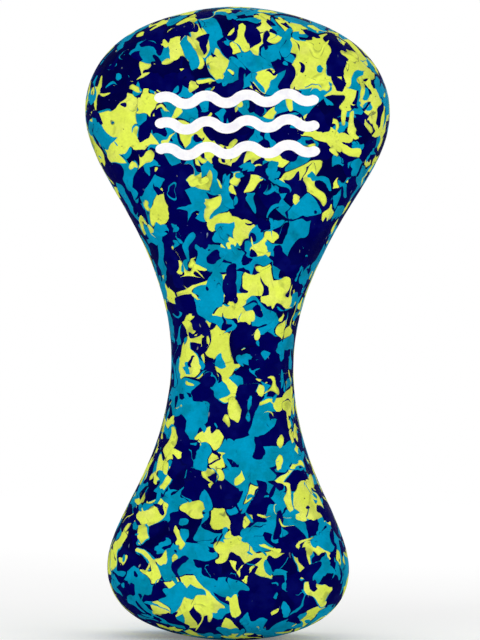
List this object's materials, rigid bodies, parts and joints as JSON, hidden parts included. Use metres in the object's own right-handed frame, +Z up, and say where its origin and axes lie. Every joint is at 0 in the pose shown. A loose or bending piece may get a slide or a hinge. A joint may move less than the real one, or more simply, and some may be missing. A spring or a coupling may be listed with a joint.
{
  "type": "pull buoy",
  "caption": "Hourglass foam leg float for swim training, with a wide upper lobe, a slim waist for the thighs, a smaller lower lobe and rounded rims.",
  "frame": {"origin": "centre of the overall size", "axes": "+Z up along the length with the large lobe up, +X to the right, -Y out of the printed front face"},
  "size_m": [0.1158, 0.0902, 0.24],
  "materials": {
    "camo_foam": "matt closed-cell EVA foam, fused chips of navy, turquoise and lime yellow",
    "bond_film": "thin dark adhesive film, only its edge shows",
    "white_print": "thin white transfer print, soft satin"
  },
  "bodies": {
    "root": {"front_foam_slab": "camo_foam", "core_foam_slab": "camo_foam", "rear_foam_slab": "camo_foam", "front_bond_film": "bond_film", "rear_bond_film": "bond_film", "print_wave_upper": "white_print", "print_wave_middle": "white_print", "print_wave_lower": "white_print"}
  },
  "joints": []
}
